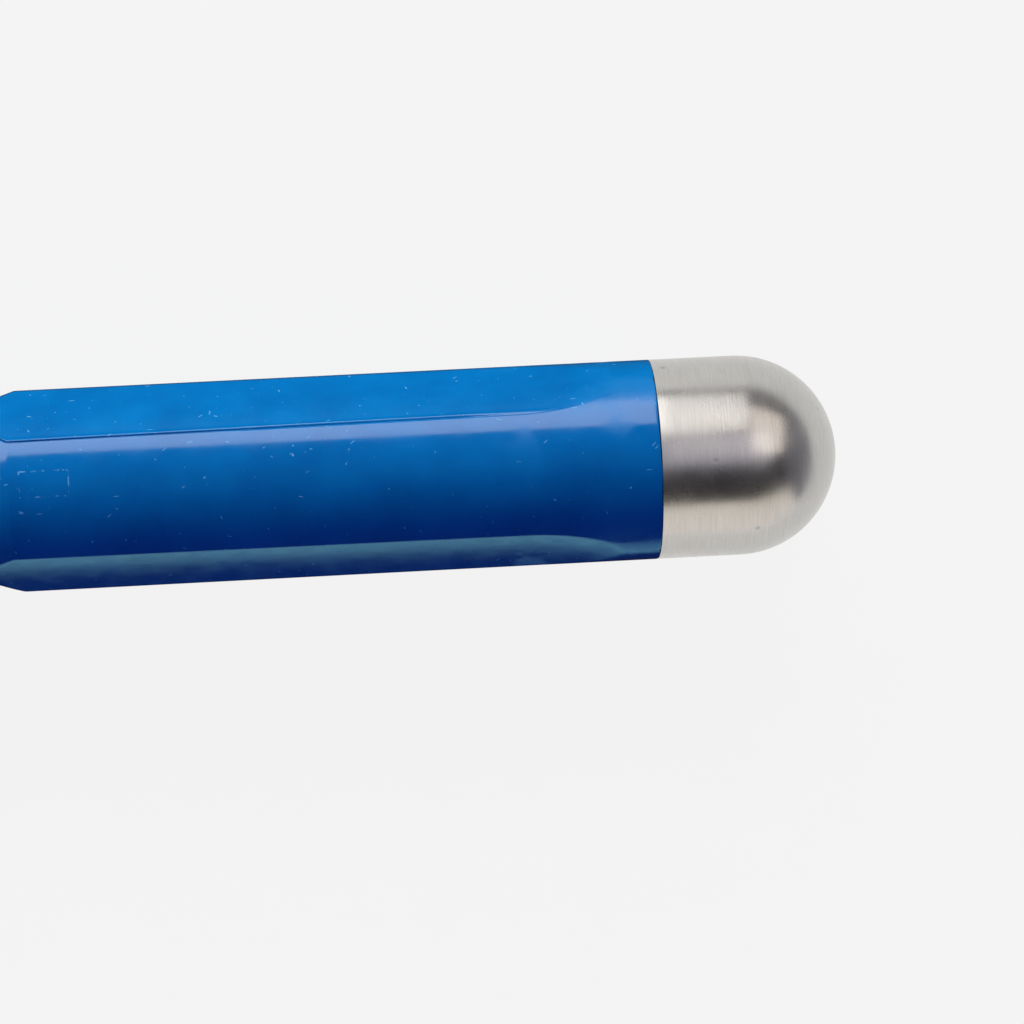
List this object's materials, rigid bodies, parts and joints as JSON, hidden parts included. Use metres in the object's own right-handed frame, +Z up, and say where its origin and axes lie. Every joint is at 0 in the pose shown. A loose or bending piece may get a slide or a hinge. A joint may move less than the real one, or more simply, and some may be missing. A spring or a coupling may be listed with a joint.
{
  "type": "three d pen",
  "caption": "Slim handheld pen that melts and feeds plastic filament, with a flatted round body, soft grip, push buttons, a speed slide and a domed pull-off metal end cap.",
  "frame": {"origin": "under the middle of the pen, on the surface it lies on", "axes": "+X along the pen from the nozzle to the domed end cap, +Z up; the pen rests on the flat between the other two, and the buttons face -Y and up"},
  "size_m": [0.17, 0.0172, 0.0166],
  "materials": {
    "blue_abs": "glossy injection-moulded ABS, faintly scratched",
    "brushed_aluminium": "turned and brushed round its axis",
    "soft_grip": "moulded soft-touch elastomer",
    "nose_resin": "heat-resistant resin, fine spark texture",
    "black_resin": "moulded, satin",
    "button_resin": "moulded, satin gloss",
    "brass": "turned",
    "steel": "turned or drawn, bright",
    "sink_aluminium": "turned, as machined",
    "ceramic": "fired, matt",
    "glass_fibre": "woven sleeve",
    "ptfe": "extruded, waxy",
    "board_green": "solder mask over glass-fibre laminate",
    "chip_black": "moulded epoxy",
    "lead_red": "extruded insulation",
    "lead_black": "extruded insulation",
    "seal_rubber": "moulded nitrile",
    "light_pipe": "clear moulded, frosted end"
  },
  "bodies": {
    "root": {"front_barrel": "blue_abs", "rear_barrel": "blue_abs", "neck_ring": "brushed_aluminium", "grip_sleeve": "soft_grip", "nose_cowl": "nose_resin", "cap_seal": "seal_rubber", "inlet_plug": "black_resin", "nozzle": "brass", "heater_barrel": "steel", "heater_sleeve": "ceramic", "thermistor": "ceramic", "insulation_sleeve": "glass_fibre", "heat_break": "steel", "heat_sink": "sink_aluminium", "inlet_bushing": "brass", "rear_guide_tube": "ptfe", "front_guide_tube": "ptfe", "drive_frame": "black_resin", "screw_bush": "brass", "gearbox_case": "brass", "motor_can": "steel", "motor_end_bell": "black_resin", "motor_terminal_1": "brass", "motor_terminal_2": "brass", "motor_screw_1": "steel", "motor_screw_2": "steel", "idler_pivot_pin": "steel", "idler_spring": "steel", "board_tray": "black_resin", "circuit_board": "board_green", "board_screw_1": "steel", "board_screw_2": "steel", "controller_chip": "chip_black", "driver_chip": "chip_black", "feed_switch": "black_resin", "retract_switch": "black_resin", "slide_pot": "steel", "status_light": "ceramic", "light_pipe": "light_pipe", "socket_board": "board_green", "socket_shell": "steel", "socket_tongue": "black_resin", "heater_lead_1": "lead_red", "heater_lead_2": "lead_black", "thermistor_lead": "lead_black", "motor_lead_1": "lead_red", "motor_lead_2": "lead_black", "power_lead_1": "lead_red", "power_lead_2": "lead_black"},
    "cap": {"end_cap": "brushed_aluminium"},
    "feed_key": {"feed_button": "button_resin", "feed_plunger": "button_resin"},
    "retract_key": {"retract_button": "button_resin", "retract_plunger": "button_resin"},
    "speed_slider": {"speed_knob": "button_resin", "slide_pot_lever": "black_resin"},
    "screw": {"feed_screw": "steel"},
    "arm": {"idler_arm": "black_resin", "idler_axle": "steel"},
    "roller": {"idler_roller": "steel"}
  },
  "joints": [
    {"name": "cap_pull", "type": "slide", "parent": "root", "child": "cap", "axis": [1, 0, 0], "range_m": [0, 0.006]},
    {"name": "feed_press", "type": "slide", "parent": "root", "child": "feed_key", "axis": [0, 0.866, -0.5], "range_m": [0, 0.0005], "stiffness_N_per_m": 400, "springref_m": -0.0005},
    {"name": "retract_press", "type": "slide", "parent": "root", "child": "retract_key", "axis": [0, 0.866, -0.5], "range_m": [0, 0.0005], "stiffness_N_per_m": 400, "springref_m": -0.0005},
    {"name": "speed_slide", "type": "slide", "parent": "root", "child": "speed_slider", "axis": [1, 0, 0], "range_m": [-0.0024, 0.0024]},
    {"name": "screw_spin", "type": "hinge", "parent": "root", "child": "screw", "pos_m": [0.023, -0.0013, 0.00575], "axis": [1, 0, 0], "continuous": true},
    {"name": "idler_swing", "type": "hinge", "parent": "root", "child": "arm", "pos_m": [0.0292, 0.0015, 0.0106], "axis": [0, 0.866, -0.5], "range_deg": [0, 6], "stiffness_Nm_per_rad": 0.02, "springref_deg": -5.73},
    {"name": "roller_spin", "type": "hinge", "parent": "arm", "child": "roller", "pos_m": [0.0232, 0.00135, 0.01034], "axis": [0, -0.866, 0.5], "continuous": true}
  ]
}
